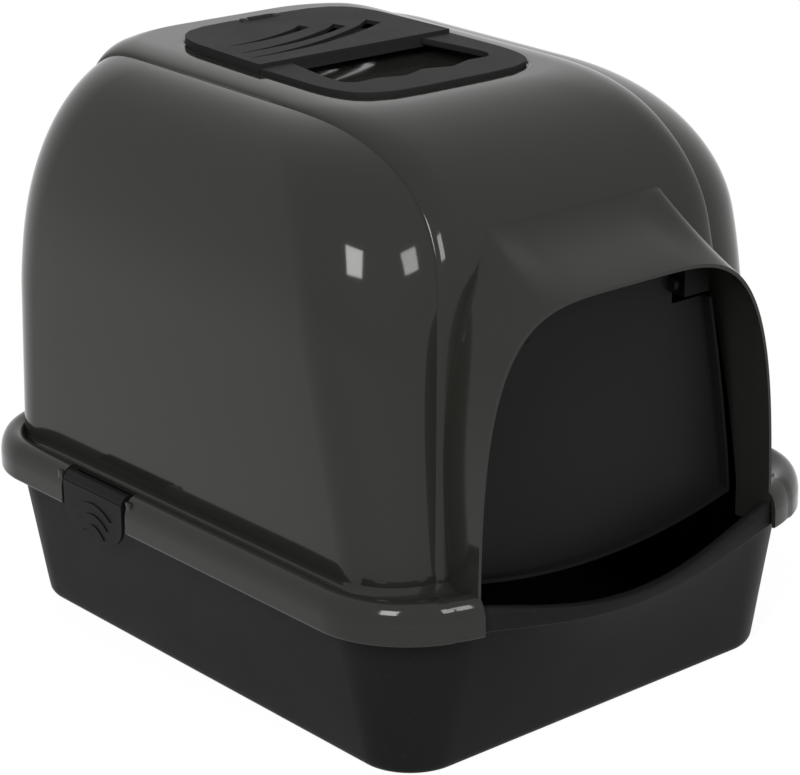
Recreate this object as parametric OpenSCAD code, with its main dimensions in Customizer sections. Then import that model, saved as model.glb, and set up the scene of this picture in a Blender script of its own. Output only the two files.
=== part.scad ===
// Hooded litter box: a tray, a clipped-on hood with an awning, a swing door, side latches
// and a top panel with a carrying frame and a vented filter lid.
// Front (the door) is -Y, left is -X, and the tray stands on Z = 0.

/* [Overall] */
// Length over the hood's flange
overall_l = 500; // [470:1:530]
// Width over the hood's flange
overall_w = 400; // [390:1:420]
// Wall thickness of the mouldings
wall = 2.8; // [2.4:0.1:3.2]

/* [Tray] */
// Half width of the tray at the floor
tray_foot_x = 168.5; // [150:1:170]
// Half length of the tray at the floor
tray_foot_y = 212; // [200:1:218]
// Height of the tray's rim
rim_z = 119; // [116:0.5:120]
// Height of the rim's lower edge
rim_low_z = 102; // [100:0.5:103]
// Depth of the dip in the front lip
lip_dip = 24; // [10:1:28]

/* [Hood] */
// Height of the flange's lower edge
flange_z = 101; // [100:0.5:103]
// Height of the flange's rolled crest
crest_z = 127; // [126:0.5:128]
// Height of the roof beside the raised band
roof_z = 393; // [385:1:400]
// Height of the raised band over the dome
band_h = 5; // [4:0.5:7]
// Half width of the raised band on the roof
band_x = 111; // [106:0.5:116]
// Slope of the roof, up towards the rear
roof_tilt = 0.03; // [0:0.005:0.04]

/* [Awning and door] */
// How far forward the awning's free edge is
awning_y = 239; // [232:1:244]
// Half width of the awning at its foot
awning_x = 131; // [126:1:134]
// Height of the awning's arch
awning_h = 199; // [190:1:204]
// Height of the door's pivot
pivot_z = 277; // [272:1:280]
// How far forward the door's pivot is
pivot_y = 208; // [205:1:212]
// Half width of the door at its foot
door_x = 118.4; // [114:0.5:120]
// Radius of the door's stub pins
stub_r = 2.5; // [2:0.1:3]

/* [Latches] */
// Place of the latches along the sides
latch_y = 75.5; // [40:0.5:100]
// Width of a latch
latch_w = 69; // [50:1:72]
// Radius of a latch's barrel
barrel_r = 6; // [5:0.1:6.2]

/* [Top panel] */
// Half width of the top panel
panel_x = 83; // [78:0.5:86]
// Half length of the top panel
panel_y = 108; // [100:1:110]
// Depth of the well under the panel
well_d = 13; // [11:0.5:15]
// Radius of the lid's hinge stubs
hinge_r = 1.6; // [1.4:0.1:1.8]

/* [Hidden] */
$fn = 48;

// Colours
black = [0.15, 0.15, 0.15];
dark_grey = [0.22, 0.215, 0.205];
charcoal = [0.25, 0.25, 0.25];
filter_black = [0.08, 0.08, 0.08];

// Fits: round a running pin, and between two pieces that move apart
run_gap = 0.06;
move_gap = 0.4;

// Hood: reach of the plain dome at its foot, what each wall leans in up to the roof,
// where its top curve starts, how far that curve comes in, and the curve's power
foot_z = crest_z;
side_wall = [overall_w / 2 - 22.8, -4.7, 263, 70.8, 2.29];
front_wall = [overall_l / 2 - 42, 29.5, 306, 92, 2.01];
rear_wall = [overall_l / 2 - 23.8, 7.7, 235, 43.7, 1.37];
foot_corner_r = 46;
roof_corner_r = 70;
step_drop = 0.45;
band_spread = 28;
band_spread_z = 365;
shoulder = 22;
flange_corner_r = 77;
flange_bow = 12;

// Columns of the hood's skin: places across the band's shoulder, and counts
shoulder_steps = [0, 2, 7, 13, shoulder];
band_mid_n = 4;
cheek_n = 10;
wall_n = 11;

// Awning: power and taper of its arch, how far its top climbs back to the band,
// the slope of its top, how long it hugs the band, and the places between which it loses its crease
arch_power = 4.7;
arch_taper = 0.11;
climb_side = 32;
climb_mid = 36;
climb_mid_x = 92;
climb_top = 335;
awning_slope = 0.62;
awning_hug = 1.4;
blend_from = 84;
blend_to = 48;
awning_n = 5;
arch_n = 30;
hanger_a = [111.5, 118];

// Top panel frame: its middle and its place on the sloping roof
panel_mid_y = 33.7;
panel_power = 5;
corner_crowding = 1.6;
panel_up = 3;
panel_z = roof_z + band_h + panel_up + roof_tilt * panel_mid_y;
panel_deg = atan(roof_tilt);
split_v = -5;
lid_up = 2.5;
skirt_low = -6.5;
ledge = 4;
panel_gap = 0.8;
pan_grow = 3.4;
roof_steps = [0.2, 0.45, 0.8, 1];
seat_w = -4.4;
hinge_v = 104;
hinge_w = 0.6;
knuckle_r = 3.6;
knuckle_x = 10;
lug_x = 16;

// Latch barrel axis
barrel_x = overall_w / 2 - 6.2;
barrel_z = 120;
latch_low_z = 87;

function clamp01(t) = min(1, max(0, t));
function total(v, i = 0) = i < len(v) - 1 ? v[i] + total(v, i + 1) : v[i];
function unit(v) = v / norm(v);

// How far a dome wall stands out at height z
function reach(w, z) =
    let (lean = clamp01((z - foot_z) / (roof_z - foot_z)), s = clamp01((z - w[2]) / (roof_z - w[2])))
    w[0] - w[1] * lean - w[3] * (1 - pow(max(0, 1 - pow(s, w[4])), 1 / w[4]));
function dome_corner(z) =
    foot_corner_r + (roof_corner_r - foot_corner_r) * clamp01((z - foot_z) / (roof_z - foot_z));
function band_half(z) = band_x + band_spread * max(0, band_spread_z - z) / (band_spread_z - foot_z + 6);

// How far an end wall stands out at x, on an outline of half width side and corner radius r
function end_y(x, end, side, r) = end - r + sqrt(max(0, r * r - pow(max(0, abs(x) - (side - r)), 2)));

// A point on the right side of an outline, at fraction t of the way from the front step to the rear step
function side_point(t, side, front, rear, r, b) =
    let (
        turn = asin(clamp01((b - (side - r)) / r)),
        arc = r * (90 - turn) * PI / 180,
        straight = front + rear - 2 * r,
        d = t < 0.4 ? t / 0.4 * arc
            : t < 0.6 ? arc + (t - 0.4) / 0.2 * straight
            : 2 * arc + straight - (1 - t) / 0.4 * arc,
        a1 = turn + d * 180 / PI / r,
        a2 = 90 - (d - arc - straight) * 180 / PI / r
    )
    d < arc ? [side - r + r * sin(a1), -(front - r) - r * cos(a1)]
    : d < arc + straight ? [side, -(front - r) + d - arc]
    : [side - r + r * sin(a2), rear - r + r * cos(a2)];

// Places across the front of a ring, from the left step to the right one
function across(b) = concat(
    [for (e = shoulder_steps) -(b - e)],
    [for (k = [-band_mid_n + 1:band_mid_n - 1]) (b - shoulder) * k / band_mid_n],
    [for (i = [len(shoulder_steps) - 1:-1:0]) b - shoulder_steps[i]]);

// A closed ring of the hood's skin: front, right, rear, left
function skin_ring(side, front, rear, r, b, z, bow = 0) =
    let (xs = across(b), n = len(xs), m = cheek_n)
    [for (x = xs) [x, -end_y(x, front, side, r) + bow * pow(x / side, 2), z],
     for (k = [1:m - 1]) let (p = side_point(k / m, side, front, rear, r, b))
        [p[0], p[1] - sign(p[1]) * bow * clamp01(abs(p[1]) / front - 0.5), z],
     for (i = [n - 1:-1:0]) [xs[i], end_y(xs[i], rear, side, r) - bow * pow(xs[i] / side, 2), z],
     for (k = [m - 1:-1:1]) let (p = side_point(k / m, side, front, rear, r, b))
        [-p[0], p[1] - sign(p[1]) * bow * clamp01(abs(p[1]) / front - 0.5), z]];

function dome_ring(z) =
    let (side = reach(side_wall, z), r = dome_corner(z))
    skin_ring(side, reach(front_wall, z), reach(rear_wall, z), r, min(band_half(z), side - 1), z);

function flange_ring(inset, z) =
    let (side = overall_w / 2 - inset, end = overall_l / 2 - inset)
    skin_ring(side, end, end, flange_corner_r - inset, band_half(foot_z) + 10, z, flange_bow);

// Rings of the plain dome, and of the roof inside the band's step
step_z = roof_z - step_drop;
dome_levels = [for (k = [0:wall_n]) foot_z + (step_z - foot_z) * (1 - pow(1 - k / wall_n, 2))];
base_rings = [for (z = dome_levels) dome_ring(z)];

// Outward normal of the base surface at ring i, column j
function skin_normal(rings, i, j) =
    let (
        n = len(rings[0]),
        up = rings[min(i + 1, len(rings) - 1)][j] - rings[max(i - 1, 0)][j],
        along = rings[i][(j + 1) % n] - rings[i][(j + n - 1) % n]
    )
    unit(cross(along, up));

// Height of the band over the dome at a point of the base
function band_rise(p) =
    let (e = band_half(p[2]) - abs(p[0]))
    e <= 0 ? 0 : band_h * sqrt(1 - pow(1 - clamp01(e / shoulder), 2));
function tilt(p) =
    [p[0], p[1], p[2] + roof_tilt * p[1] * pow(clamp01((p[2] - foot_z) / (roof_z - foot_z)), 2)];
function skin(depth) = [for (i = [0:len(base_rings) - 1])
    [for (j = [0:len(base_rings[0]) - 1])
        let (p = base_rings[i][j]) tilt(p + skin_normal(base_rings, i, j) * (band_rise(p) - depth))]];

// Outline of the top panel, grown by g, with a point for each column of the skin, crowded at its corners
function panel_outline(g) = [for (p = base_rings[wall_n])
    let (
        raw = atan2((p[1] - panel_mid_y) / panel_y, p[0] / panel_x),
        quarter = floor(raw / 90),
        off = raw - 90 * quarter - 45,
        a = 90 * quarter + 45 + 45 * sign(off) * pow(abs(off) / 45, corner_crowding),
        k = pow(pow(abs(cos(a)), panel_power) + pow(abs(sin(a)), panel_power), -1 / panel_power),
        v = (panel_y + g) * k * sin(a)
    )
    [(panel_x + g) * k * cos(a) * (1 - 0.02 * v / panel_y), v]];
// A ring of that outline at height w
function outline_ring(g, w) = [for (p = panel_outline(g))
    [p[0], panel_mid_y + p[1] * cos(panel_deg) - w * sin(panel_deg),
     panel_z + p[1] * sin(panel_deg) + w * cos(panel_deg)]];
// Rings of the roof, from the dome's last ring (t = 0) to the panel (t = 1)
function roof_ring(t) =
    let (a = base_rings[wall_n], b = outline_ring(panel_gap, -panel_up))
    [for (j = [0:len(a) - 1])
        let (x = a[j][0] + (b[j][0] - a[j][0]) * t, y = a[j][1] + (b[j][1] - a[j][1]) * t)
        tilt([x, y, roof_z - step_drop * (1 - t) + band_rise([x, y, roof_z])])];

// The flange's section: [inset, height] outside, from its lower edge to the wall's foot, and inside
flange_out = [[0, flange_z], [0.5, crest_z - 12], [1.8, crest_z - 6.5], [5, crest_z - 2],
    [10, crest_z], [15, crest_z - 1.4], [19.5, crest_z - 4.5]];
flange_in = [[20.5, crest_z - 7.4], [14.6, crest_z - 4.4], [10, crest_z - wall],
    [6.4, crest_z - 4.6], [4.4, crest_z - 8], [3.3, crest_z - 12.5], [wall, flange_z]];

// A solid through a stack of rings, closed by a fan round the middle of its first and last ring
function middle(r) = total(r) / len(r);
function stack_faces(rows, n) = concat(
    [for (i = [0:rows - 2], j = [0:n - 1]) let (a = i * n, b = a + n, k = (j + 1) % n)
        each [[a + j, b + j, a + k], [a + k, b + j, b + k]]],
    [for (j = [0:n - 1]) [j, (j + 1) % n, rows * n]],
    [for (j = [0:n - 1]) let (a = (rows - 1) * n) [a + (j + 1) % n, a + j, rows * n + 1]]);
module stack(rings) {
    rows = len(rings);
    polyhedron(points = concat([for (r = rings) each r], [middle(rings[0]), middle(rings[rows - 1])]),
        faces = stack_faces(rows, len(rings[0])), convexity = 8);
}

// The hood's shell: under the well, down inside the dome and the flange, and up outside to the well's floor
module hood_shell() {
    inside = skin(wall);
    stack(concat(
        [outline_ring(pan_grow, -well_d - wall), outline_ring(pan_grow, -panel_up - wall - 0.6)],
        [for (i = [wall_n:-1:0]) inside[i]],
        [for (f = flange_in) flange_ring(f[0], f[1])],
        [for (f = flange_out) flange_ring(f[0], f[1])],
        skin(0),
        [for (t = roof_steps) roof_ring(t)],
        [outline_ring(panel_gap, seat_w), outline_ring(-ledge, seat_w), outline_ring(-ledge, -well_d)]));
}

// The awning's arch: the point at angle a, for an arch inset all round
function arch_point(a, in) =
    let (
        c = cos(a), s = sin(a), w = awning_x - in, h = awning_h - in,
        r = pow(pow(abs(c) / w, arch_power) + pow(abs(s) / h, arch_power), -1 / arch_power),
        q = r * s / h
    )
    [-r * c * (1 - arch_taper * q * q), flange_z + r * s];
// How far the arch's top climbs between its free edge and the band
function climb(p) = min(climb_top - p[1], climb_side * pow(clamp01((p[1] - flange_z) / awning_h), 5)
    + climb_mid * max(0, 1 - pow(p[0] / climb_mid_x, 2)));
// The band's front at x and z
function band_front(x, z) =
    let (slope = (reach(front_wall, z + 1) - reach(front_wall, z - 1)) / 2, zz = max(z, foot_z))
    -end_y(x, reach(front_wall, zz), reach(side_wall, zz), dome_corner(zz))
    - band_rise([x, 0, zz]) * sqrt(1 + slope * slope);
// How far the awning has run back and up at fraction t. Where blend is 1, the curve is tangent to the band.
function awning_run(x, z, t) =
    let (
        up = climb([x, z]),
        blend = pow(clamp01((blend_from - abs(x)) / (blend_from - blend_to)), 2) * (z > pivot_z ? 1 : 0),
        y_end = band_front(x, z + up) + wall * (1.1 - blend),
        run = y_end + awning_y,
        lean = (band_front(x, z + up + 2) - band_front(x, z + up - 2)) / 4,
        start = [run, up + (awning_slope * run - up) * blend],
        end = [run + (lean * up * awning_hug - run) * blend, up + up * (awning_hug - 1) * blend],
        h = [t * t * (3 - 2 * t), t * pow(1 - t, 2), t * t * (t - 1)]
    )
    [run * h[0] + start[0] * h[1] + end[0] * h[2], up * h[0] + start[1] * h[1] + end[1] * h[2]];
// One section of the awning's wall: outside from the free edge back to the band, then inside
function awning_section(a) =
    let (
        o = arch_point(a, 0), i = arch_point(a, wall),
        runs = [for (k = [0:awning_n]) awning_run(o[0], o[1], k / awning_n)]
    )
    concat(
        [for (k = [0:awning_n]) [o[0], runs[k][0] - awning_y, o[1] + runs[k][1]]],
        [for (k = [awning_n:-1:0]) [i[0], runs[k][0] - awning_y, i[1] + runs[k][1]]]);
module awning() {
    stack([for (k = [arch_n:-1:0]) awning_section(180 * k / arch_n)]);
}
// The doorway through the hood's front wall, under the awning
module doorway() {
    translate([0, -20, 0]) rotate([90, 0, 0])
        linear_extrude(height = overall_l)
            polygon([for (k = [0:arch_n]) let (p = arch_point(180 * k / arch_n, wall * 0.5))
                [p[0], k == 0 || k == arch_n ? flange_z - 5 : p[1] + climb(p) - wall * 0.7]]);
}

// A slab with the panel's outline, from height w0 to w1 of the panel's frame
module panel_slab(g, w0, w1) {
    translate([0, 0, w0]) linear_extrude(height = w1 - w0) polygon(panel_outline(g));
}
// Puts its children in the panel's frame
module on_roof() {
    translate([0, panel_mid_y, panel_z]) rotate([panel_deg, 0, 0]) children();
}

// Rib between the finger well and the filter
module well_rib() {
    translate([-panel_x + ledge - 1, 22, -well_d - 0.5]) cube([2 * (panel_x - ledge + 1), 2, 7]);
}
// Room for the lid's rear edge as it turns down
module lid_relief() {
    intersection() {
        panel_slab(0.4, -8, seat_w + 0.1);
        translate([-62, 98, -9]) cube([124, 20, 20]);
    }
}
module grille_slots() {
    for (k = [-4:4]) translate([k * 14 - 1.8, 36, -well_d - wall - 1]) cube([3.6, 50, wall + 2]);
}
// Lugs that hold the lid's stubs
module hinge_lugs() {
    for (s = [-1, 1]) translate([s * (knuckle_x + lug_x) / 2, hinge_v, 0]) {
        translate([0, 0, hinge_w]) rotate([0, 90, 0])
            cylinder(r = knuckle_r, h = 5.2, center = true, $fn = 24);
        translate([-2.6, -knuckle_r, -well_d]) cube([5.2, 2 * knuckle_r, well_d + hinge_w]);
    }
}
module hinge_bore() {
    translate([0, hinge_v, hinge_w]) rotate([0, 90, 0])
        cylinder(r = hinge_r + run_gap, h = 2 * lug_x + 8, center = true);
}

// Notch in the flange for a latch, and the bosses at its two ends
module latch_notch() {
    translate([-overall_w / 2 - 5, latch_y - latch_w / 2 - 3.5, flange_z - 5])
        cube([5 + 6.2 + barrel_r + 1, latch_w + 7, 40]);
}
module latch_bosses() {
    for (s = [-1, 1])
        translate([-overall_w / 2 + 1.2, latch_y + s * (latch_w / 2 + 6.2) - 3, barrel_z - 6.5])
            cube([13, 6, 10.5]);
}
module latch_bores() {
    for (s = [-1, 1]) translate([-barrel_x, latch_y + s * (latch_w / 2 + 6), barrel_z])
        rotate([90, 0, 0]) cylinder(r = stub_r + run_gap, h = 9, center = true);
}

module tray() {
    color(black) difference() {
        stack(concat(tray_outside(), tray_inside()));
        for (m = [0, 1]) mirror([m, 0, 0]) awning_slit();
    }
}
// A ring of the tray, dipped at the front lip
function tray_ring(side, end, r, z, bow = 0) =
    let (b = side - r, m = 6, n = 15)
    [for (p = concat(
        [for (k = [-m:m]) [b * k / m, -end, z]],
        [for (k = [1:n - 1]) let (q = side_point(k / n, side, end, end, r, b)) [q[0], q[1], z]],
        [for (k = [m:-3:-m]) [b * k / m, end, z]],
        [for (k = [n - 1:-1:1]) let (q = side_point(k / n, side, end, end, r, b)) [-q[0], q[1], z]]))
        let (
            y = p[1] - sign(p[1]) * bow * pow(p[0] / side, 2) * clamp01(2 * abs(p[1]) / end - 1),
            lip = lip_share(p[0]) * pow(p[2] / rim_z, 3) * clamp01(-y / end * 4 - 3)
        )
        [p[0], y - min(1, lip * 1.1) * tray_rim_in, p[2] - lip_dip * lip
            - rim_drop * clamp01((p[2] - rim_low_z) / (rim_z - rim_low_z)) * clamp01((y + end) / 20 - 0.6)]];
// How much of the front lip's dip and bulge a place at x has
function lip_share(x) = abs(x) < awning_x ? pow(cos(90 * x / awning_x), 1.1) : 0;

// The tray's wall at fraction t of its height, set in by g
function tray_wall(t, g, z) = tray_ring(
    tray_foot_x + (tray_top_x - tray_foot_x) * t - g,
    tray_foot_y + (tray_top_y - tray_foot_y) * t - g,
    38 + 26 * t - g, z, 10 * t);
tray_top_x = overall_w / 2 - 13;
tray_top_y = overall_l / 2 - 13;
tray_rim_in = 4;
// How much lower the rim is where the flange hides it, which makes room for the latches
rim_drop = 9;
function rim_ring(inset, z) =
    tray_ring(overall_w / 2 - inset, overall_l / 2 - inset, flange_corner_r - inset, z, flange_bow);
function tray_outside() = [
    tray_wall(0, 8, 0), tray_wall(0, 2.5, 0.01), tray_wall(0, 0.8, 1.5), tray_wall(0.05, 0, 6),
    tray_wall(0.35, 0, rim_low_z * 0.35), tray_wall(0.7, 0, rim_low_z * 0.7), tray_wall(1, 0, rim_low_z - 1),
    rim_ring(tray_rim_in, rim_low_z), rim_ring(tray_rim_in, rim_z - 5),
    rim_ring(tray_rim_in + 1.4, rim_z - 1.6), rim_ring(tray_rim_in + 5, rim_z)];
function tray_inside() = [
    rim_ring(12, rim_z - 1), rim_ring(13.6, rim_z - 4),
    tray_wall(1, wall, rim_low_z - 2), tray_wall(0.7, wall, rim_low_z * 0.7),
    tray_wall(0.35, wall, rim_low_z * 0.35), tray_wall(0.05, wall, 8), tray_wall(0, 7, wall + 0.6),
    tray_wall(0, 14, wall)];
// Slit in the rim for the foot of the awning's side wall
module awning_slit() {
    translate([-awning_x - move_gap - 0.2, -overall_l / 2 - 5, flange_z - 0.8])
        cube([wall + 2 * move_gap + 0.8, 60, 40]);
}

// A point in the middle of the awning's wall
function awning_mid(a, t) =
    let (o = arch_point(a, 0), m = arch_point(a, wall / 2), run = awning_run(o[0], o[1], t))
    [m[0], run[0] - awning_y, m[1] + run[1]];
// Pad that a door bracket is fixed to. Its top lies inside the awning's wall.
module bracket_hanger() {
    x0 = notch_x + 1.5;
    x1 = x0 + bracket_w;
    z0 = pivot_z - 8 + bracket_h;
    stack([
        [[x0, -pivot_y - 8, z0], [x1, -pivot_y - 8, z0], [x1, -pivot_y + 8, z0], [x0, -pivot_y + 8, z0]],
        [awning_mid(hanger_a[0], 0.45), awning_mid(hanger_a[1], 0.45),
         awning_mid(hanger_a[1], 0.76), awning_mid(hanger_a[0], 0.76)]]);
}

module hood() {
    color(dark_grey) difference() {
        union() {
            difference() {
                hood_shell();
                doorway();
                on_roof() {
                    grille_slots();
                    lid_relief();
                }
                for (m = [0, 1]) mirror([m, 0, 0]) latch_notch();
            }
            awning();
            on_roof() {
                well_rib();
                hinge_lugs();
            }
            for (m = [0, 1]) mirror([m, 0, 0]) {
                latch_bosses();
                bracket_hanger();
            }
        }
        for (m = [0, 1]) mirror([m, 0, 0]) latch_bores();
        on_roof() hinge_bore();
    }
}

// Outline of the door: narrower towards the top, with a bowed foot
door_foot_z = 122;
door_top_z = 290;
door_bow = 15;
bracket_w = 22.5;
bracket_h = 20;
notch_x = 66;
notch_z = pivot_z - 14;
plate_y = pivot_y - 4;
function door_half(z) = door_x - 22.5 * pow(clamp01((z - door_foot_z) / (notch_z - door_foot_z)), 1.32);
function door_outline(g) = concat(
    [for (k = [-12:12]) let (u = k / 12) [(door_half(door_foot_z) - g) * u,
        door_foot_z + g - door_bow * (1 - u * u)]],
    [for (k = [1:8]) let (z = door_foot_z + (notch_z - door_foot_z) * k / 8) [door_half(z) - g, z]],
    [[notch_x - g, notch_z], [notch_x - g, door_top_z - g],
     [g - notch_x, door_top_z - g], [g - notch_x, notch_z]],
    [for (k = [8:-1:1]) let (z = door_foot_z + (notch_z - door_foot_z) * k / 8) [g - door_half(z), z]]);
module door_slab(g, y0, y1) {
    translate([0, y1, 0]) rotate([90, 0, 0]) linear_extrude(height = y1 - y0) polygon(door_outline(g));
}
module swing_door() {
    color(black) {
        difference() {
            door_slab(0, -plate_y - 9, -plate_y);
            door_slab(2.2, -plate_y - 10, -plate_y - 2.2);
            // The raised border runs round the sides and the foot only
            translate([-notch_x - 1, -plate_y - 20, notch_z - 0.01]) cube([2 * notch_x + 2, 17.8, 60]);
        }
        // Webs that carry the stubs, and the stubs
        for (s = [-1, 1]) {
            translate([s * (notch_x - 2), -pivot_y, pivot_z]) rotate([0, 90, 0])
                cylinder(r = 4.4, h = 4, center = true);
            translate([s * (notch_x + 8), -pivot_y, pivot_z]) rotate([0, 90, 0])
                cylinder(r = stub_r, h = 20, center = true);
        }
    }
}

// A bracket block under the awning, with the bore for a stub
module door_bracket() {
    color(black) difference() {
        translate([notch_x + 1.5, -pivot_y - 8, pivot_z - 8]) cube([bracket_w, 16, bracket_h]);
        translate([notch_x + 8, -pivot_y, pivot_z]) rotate([0, 90, 0])
            cylinder(r = stub_r + run_gap, h = 30, center = true);
    }
}
module door_bracket_right() { door_bracket(); }
module door_bracket_left() { mirror([1, 0, 0]) door_bracket(); }

// A latch: a barrel in the flange's notch and a clip plate that hangs over the tray
latch_t = 2.4;
latch_half = latch_w / 2;
module latch() {
    color(black) translate([-barrel_x, latch_y, 0]) {
        translate([0, 0, barrel_z]) rotate([90, 0, 0]) cylinder(r = barrel_r, h = latch_w, center = true);
        translate([0, 0, barrel_z]) rotate([90, 0, 0]) cylinder(r = stub_r, h = latch_w + 17, center = true);
        // Plate with a rounded foot
        translate([-barrel_r - 0.6, 0, 0]) rotate([90, 0, 90]) linear_extrude(height = latch_t)
            polygon(latch_outline());
        // Catch bead inside, just outside the tray's rim
        translate([-barrel_r - 0.6 + latch_t - 0.3, -latch_half + 12, rim_low_z - 8.5])
            cube([0.7, latch_w - 24, 4]);
        // Three wave ribs
        for (k = [0:2]) translate([-barrel_r - 0.6 - 0.9, 0, barrel_z - 10 - 8 * k])
            rotate([90, 0, 90]) linear_extrude(height = 1.4) polygon(wave_outline(44 - 9 * k));
    }
}
function latch_outline() = concat(
    [[-latch_half, barrel_z], [-latch_half, barrel_z - 14]],
    [for (a = [180:15:270]) [-latch_half + 20 + 20 * cos(a), latch_low_z + 16 + 16 * sin(a)]],
    [for (a = [270:15:360]) [latch_half - 20 + 20 * cos(a), latch_low_z + 16 + 16 * sin(a)]],
    [[latch_half, barrel_z - 14], [latch_half, barrel_z]]);
function wave_outline(w) = concat(
    [for (k = [0:10]) let (u = k / 10 - 0.5) [w * u, -5.5 * u * u * 4 + 2.2 * (1 - 4 * u * u)]],
    [for (k = [10:-1:0]) let (u = k / 10 - 0.5) [w * u, -5.5 * u * u * 4 - 0.01]]);
module latch_left() { latch(); }
module latch_right() { mirror([1, 0, 0]) latch(); }

// The front half of the top panel: a U-shaped frame round the finger well
function well_opening() = concat(
    [[-56, 0], [-62, -40], [-64, -58]],
    [for (a = [195:15:255]) [-52 + 12 * cos(a), -62 + 12 * sin(a)]],
    [for (k = [-4:4]) let (x = 10 * k) [x, -76 + 3.5 * cos(x * 9)]],
    [for (a = [285:15:345]) [52 + 12 * cos(a), -62 + 12 * sin(a)]],
    [[64, -58], [62, -40], [56, 0]]);
module handle_frame() {
    color(charcoal) on_roof() difference() {
        panel_slab(0, seat_w, 0);
        translate([-100, split_v - 0.9, -20]) cube([200, 200, 40]);
        translate([0, 0, -20]) linear_extrude(height = 40) polygon(well_opening());
    }
}

// A swoosh-shaped slot: thin at one end, flared at the other
function swoosh(w, rise, flare) = concat(
    [for (k = [0:12]) let (u = k / 12) [w * u, rise * u * u - flare * 0.16 * sin(180 * u)]],
    [[w - flare * 0.2, rise + flare * 0.75]],
    [for (k = [11:-1:0]) let (u = k / 12)
        [(w - flare * 0.45) * u, rise * u * u * 0.98 + flare * 0.5 * pow(u, 1.6) + 0.9 * (1 - u)]]);
slots = [[-68, 47, 78, 12, 12], [-72, 27, 104, 19, 14], [-75, 12, 134, 28, 17]];
module filter_lid() {
    color(charcoal) on_roof() difference() {
        union() {
            difference() {
                panel_slab(0, seat_w + move_gap, lid_up);
                panel_slab(-2.5, seat_w - 1, lid_up - 2.8);
                translate([-100, split_v - 200, -20]) cube([200, 200, 40]);
                for (s = [-1, 1]) translate([s * (knuckle_x + lug_x) / 2 - 3.2, hinge_v - 4.2, -20])
                    cube([6.4, 20, 40]);
            }
            // Front skirt over the well
            translate([-panel_x + ledge + 1.5, split_v, skirt_low])
                cube([2 * (panel_x - ledge - 1.5), 2.5, lid_up - skirt_low]);
            // Knuckle and stubs
            translate([0, hinge_v, hinge_w]) rotate([0, 90, 0])
                cylinder(r = knuckle_r, h = 2 * knuckle_x - 0.8, center = true);
            translate([0, hinge_v, hinge_w]) rotate([0, 90, 0])
                cylinder(r = hinge_r, h = 2 * lug_x - 2, center = true);
        }
        for (s = slots) translate([s[0], s[1], -20]) linear_extrude(height = 40)
            polygon(swoosh(s[2], s[3], s[4]));
    }
}

module charcoal_filter() {
    color(filter_black) on_roof() translate([-66, 26, -well_d]) cube([132, 60, 8]);
}

tray();
hood();
swing_door();
door_bracket_left();
door_bracket_right();
latch_left();
latch_right();
handle_frame();
filter_lid();
charcoal_filter();
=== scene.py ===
import math

import bmesh
import bpy
import numpy as np
from mathutils import Matrix, Vector


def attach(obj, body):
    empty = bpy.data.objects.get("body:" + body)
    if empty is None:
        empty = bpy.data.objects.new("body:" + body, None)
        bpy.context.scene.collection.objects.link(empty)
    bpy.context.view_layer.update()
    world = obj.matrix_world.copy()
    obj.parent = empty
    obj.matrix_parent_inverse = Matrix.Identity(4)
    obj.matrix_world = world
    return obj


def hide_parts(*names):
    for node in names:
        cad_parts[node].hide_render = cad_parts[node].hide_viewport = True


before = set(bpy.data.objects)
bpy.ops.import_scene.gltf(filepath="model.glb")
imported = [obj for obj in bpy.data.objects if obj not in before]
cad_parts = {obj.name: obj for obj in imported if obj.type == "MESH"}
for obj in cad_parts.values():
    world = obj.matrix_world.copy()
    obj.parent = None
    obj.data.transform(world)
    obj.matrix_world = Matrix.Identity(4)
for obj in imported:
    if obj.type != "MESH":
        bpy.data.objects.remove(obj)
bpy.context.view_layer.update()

MM = 0.001
scene = bpy.context.scene
scene.view_settings.view_transform = "Standard"

# ---------------------------------------------------------------- sizes, in millimetres
# Driving sizes, the same as in the part's source
OVERALL_L, OVERALL_W, WALL = 500.0, 400.0, 2.8
# Tray: half sizes of its foot, the rim's top and underside, the dip of the front lip, and how much
# lower the rim is behind its front edge
TRAY_FOOT_X, TRAY_FOOT_Y = 168.5, 212.0
RIM_Z, RIM_LOW_Z, LIP_DIP, RIM_DROP = 119.0, 102.0, 24.0, 9.0
# Hood: the flange's lower edge and crest, the roof's height and tilt, the raised band's height and half width
FLANGE_Z, CREST_Z, ROOF_Z, TILT = 101.0, 127.0, 393.0, 0.03
BAND_H, BAND_X = 5.0, 111.0
FLANGE_R, FLANGE_BOW = 77.0, 12.0
# Dome: where its walls start, and the corner radius there and at the roof
FOOT_Z, FOOT_R, ROOF_R = CREST_Z, 46.0, 70.0
# Each wall: distance from the middle at the foot, lean up to the roof, height at which the shoulder
# starts, depth of the shoulder and its power
SIDE_WALL = (OVERALL_W / 2 - 22.8, -4.7, 263, 70.8, 2.29)
FRONT_WALL = (OVERALL_L / 2 - 42, 29.5, 306, 92, 2.01)
REAR_WALL = (OVERALL_L / 2 - 23.8, 7.7, 235, 43.7, 1.37)
# Band: how much it widens towards the foot, from what height, and the width of its rounded edge
BAND_SPREAD, BAND_SPREAD_Z, SHOULDER = 28.0, 365.0, 22.0
# Awning: its front edge, half width and height, and the height of the door's pivot
AWNING_Y, AWNING_X, AWNING_H, PIVOT_Z = 239.0, 131.0, 199.0, 277.0
# Latches: middle, width and height of the barrel's axis
LATCH_Y, LATCH_W, BARREL_Z = 75.5, 69.0, 120.0
# Top panel: half sizes, middle, power of its outline, how far it stands up, and its seat's and well's depth
PANEL_X, PANEL_Y, PANEL_MID_Y, PANEL_POWER = 83.0, 108.0, 33.7, 5.0
PANEL_UP, SEAT_W, WELL_D = 3.0, -4.4, 13.0
PANEL_TAPER = 0.02
PANEL_Z = ROOF_Z + BAND_H + PANEL_UP + TILT * PANEL_MID_Y
PANEL_ANGLE = math.atan(TILT)


def clamp01(t):
    return min(1.0, max(0.0, t))


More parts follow.
